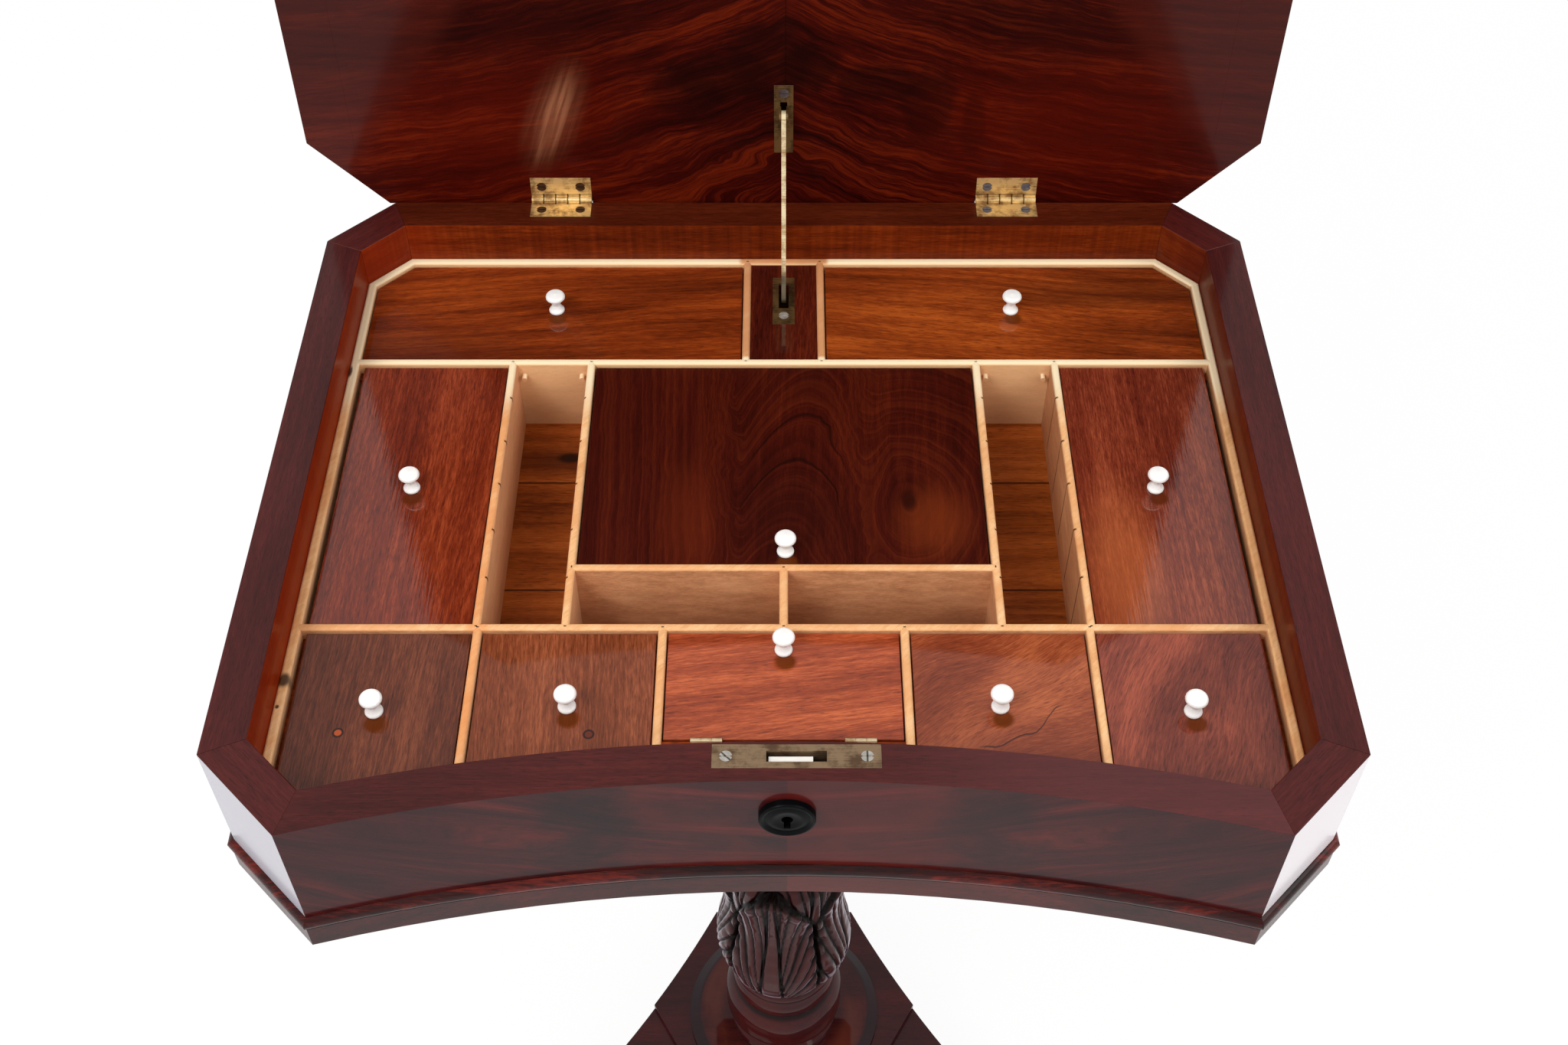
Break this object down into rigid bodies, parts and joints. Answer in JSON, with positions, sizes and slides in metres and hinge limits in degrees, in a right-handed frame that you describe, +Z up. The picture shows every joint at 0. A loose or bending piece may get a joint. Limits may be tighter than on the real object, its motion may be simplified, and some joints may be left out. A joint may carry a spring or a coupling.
{
  "type": "teapoy",
  "caption": "Canted mahogany work table on a carved column and three-armed base, its hinged lid open over maple compartments with bone-knobbed lids.",
  "frame": {"origin": "on the floor under the middle of the whole object with its lid open, 14 mm behind the column's axis", "axes": "+Z up, -Y towards the front with the lock, +X to the right seen from the front"},
  "size_m": [0.604, 0.5263, 1.2575],
  "materials": {
    "mahogany": "french polished, glossy",
    "flame_mahogany": "book-matched flame veneer, french polished",
    "compartment_mahogany": "polished",
    "carved_mahogany": "carved and waxed",
    "maple": "satin",
    "brass": "aged",
    "steel": "worn",
    "bone": "polished bone",
    "ebonised": "ebonised, polished"
  },
  "bodies": {
    "table": {"front_rail": "flame_mahogany", "back_rail": "mahogany", "side_rails": "mahogany", "canted_corners": "mahogany", "case_bottom": "mahogany", "case_moulding": "mahogany", "maple_liner": "maple", "rear_divider": "maple", "front_divider": "maple", "well_partitions": "maple", "short_partitions": "maple", "well_pegs": "maple", "lid_bearers": "maple", "stay_block": "mahogany", "stay_case_plate": "brass", "case_screws": "brass", "case_hinge_leaves": "brass", "flap_hinge_fixed_leaves": "brass", "lock_plate": "brass", "lock_case": "steel", "escutcheon": "ebonised", "support_block": "mahogany", "column_cap": "mahogany", "upper_column": "mahogany", "carved_bulb": "carved_mahogany", "neck_rings": "mahogany", "base_disc": "mahogany", "plinth_top": "mahogany", "plinth_base": "mahogany", "bun_feet": "mahogany"},
    "main_lid": {"lid_panel": "flame_mahogany", "lid_end_clamps": "mahogany", "lid_hinge_leaves": "brass", "lid_screws": "brass", "lid_catch_plate": "brass", "stay_lid_plate": "brass"},
    "stay": {"stay_strap": "brass"},
    "bolt": {"lock_bolt": "steel"},
    "flap": {"front_flap": "compartment_mahogany", "front_flap_knob": "bone", "flap_hinge_lid_leaves": "brass"},
    "rear_left_cover": {"rear_left_lid": "compartment_mahogany", "rear_left_knob": "bone"},
    "rear_right_cover": {"rear_right_lid": "compartment_mahogany", "rear_right_knob": "bone"},
    "side_left_cover": {"side_left_lid": "compartment_mahogany", "side_left_knob": "bone"},
    "side_right_cover": {"side_right_lid": "compartment_mahogany", "side_right_knob": "bone"},
    "centre_cover": {"centre_lid": "compartment_mahogany", "centre_knob": "bone"},
    "front_left_cover": {"front_left_lid": "compartment_mahogany", "front_left_knob": "bone"},
    "front_inner_left_cover": {"front_inner_left_lid": "compartment_mahogany", "front_inner_left_knob": "bone"},
    "front_inner_right_cover": {"front_inner_right_lid": "compartment_mahogany", "front_inner_right_knob": "bone"},
    "front_right_cover": {"front_right_lid": "compartment_mahogany", "front_right_knob": "bone"}
  },
  "joints": [
    {"name": "main_lid_hinge", "type": "hinge", "parent": "table", "child": "main_lid", "pos_m": [0, 0.2167, 0.7703], "axis": [-1, 0, 0], "range_deg": [-93.4, 0]},
    {"name": "stay_pivot", "type": "hinge", "parent": "main_lid", "child": "stay", "pos_m": [0, 0.21532, 0.8365], "axis": [1, 0, 0], "range_deg": [-150.5, 0]},
    {"name": "lock_bolt_slide", "type": "slide", "parent": "table", "child": "bolt", "axis": [1, 0, 0], "range_m": [0, 0.006]},
    {"name": "flap_hinge", "type": "hinge", "parent": "table", "child": "flap", "pos_m": [0, -0.184, 0.7405], "axis": [1, 0, 0], "range_deg": [0, 100]},
    {"name": "rear_left_lift", "type": "slide", "parent": "table", "child": "rear_left_cover", "axis": [0, 0, 1], "range_m": [0, 0.045]},
    {"name": "rear_right_lift", "type": "slide", "parent": "table", "child": "rear_right_cover", "axis": [0, 0, 1], "range_m": [0, 0.045]},
    {"name": "side_left_lift", "type": "slide", "parent": "table", "child": "side_left_cover", "axis": [0, 0, 1], "range_m": [0, 0.045]},
    {"name": "side_right_lift", "type": "slide", "parent": "table", "child": "side_right_cover", "axis": [0, 0, 1], "range_m": [0, 0.045]},
    {"name": "centre_lift", "type": "slide", "parent": "table", "child": "centre_cover", "axis": [0, 0, 1], "range_m": [0, 0.045]},
    {"name": "front_left_lift", "type": "slide", "parent": "table", "child": "front_left_cover", "axis": [0, 0, 1], "range_m": [0, 0.045]},
    {"name": "front_inner_left_lift", "type": "slide", "parent": "table", "child": "front_inner_left_cover", "axis": [0, 0, 1], "range_m": [0, 0.045]},
    {"name": "front_inner_right_lift", "type": "slide", "parent": "table", "child": "front_inner_right_cover", "axis": [0, 0, 1], "range_m": [0, 0.045]},
    {"name": "front_right_lift", "type": "slide", "parent": "table", "child": "front_right_cover", "axis": [0, 0, 1], "range_m": [0, 0.045]}
  ],
  "couplings": [
    {"joint": "stay_pivot", "follows": "main_lid_hinge", "ratio": 1.6044}
  ]
}
